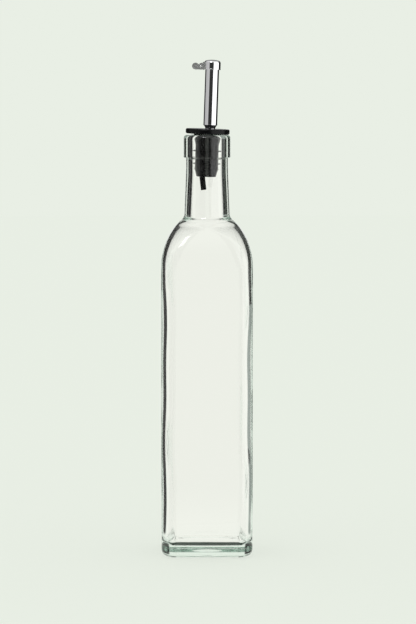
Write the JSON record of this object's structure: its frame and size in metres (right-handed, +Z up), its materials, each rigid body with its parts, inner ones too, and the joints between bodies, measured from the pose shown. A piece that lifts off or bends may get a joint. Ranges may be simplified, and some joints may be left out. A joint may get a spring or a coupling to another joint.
{
  "type": "glass oil bottle",
  "caption": "Square clear-glass oil bottle with a pull-out rubber stopper, a steel pouring spout, a breather tube and a hinged flap with a thumb lever that shuts the spout.",
  "frame": {"origin": "middle of the bottle's underside, at the height of the table", "axes": "+Z up along the bottle, +X towards the side that the spout pours over, the thumb lever towards -X, +Y to the back"},
  "size_m": [0.0572, 0.0572, 0.3109],
  "materials": {
    "clear_glass": "clear moulded glass with a faint green tint",
    "black_rubber": "smooth black rubber with a soft sheen",
    "black_sleeve": "matte black rubber sleeve",
    "polished_steel": "mirror-polished stainless steel",
    "satin_steel": "stamped stainless steel, dull polish"
  },
  "bodies": {
    "bottle": {"glass_bottle": "clear_glass"},
    "stopper": {"stopper": "black_rubber", "air_tube": "polished_steel", "breather_tube": "black_sleeve"},
    "spout": {"spout_tube": "polished_steel", "hinge_bracket": "satin_steel"},
    "flap": {"flap_cap": "polished_steel", "flap_lever": "satin_steel", "hinge_pin": "satin_steel"}
  },
  "joints": [
    {"name": "pourer_lift", "type": "slide", "parent": "bottle", "child": "stopper", "axis": [0, 0, 1], "range_m": [0, 0.045]},
    {"name": "spout_turn", "type": "hinge", "parent": "stopper", "child": "spout", "pos_m": [0.00332, 0, 0.30652], "axis": [0.0349, 0, 0.9994], "continuous": true},
    {"name": "flap_open", "type": "hinge", "parent": "spout", "child": "flap", "pos_m": [-0.00428, 0, 0.30678], "axis": [0, -1, 0], "range_deg": [0, 100]}
  ]
}
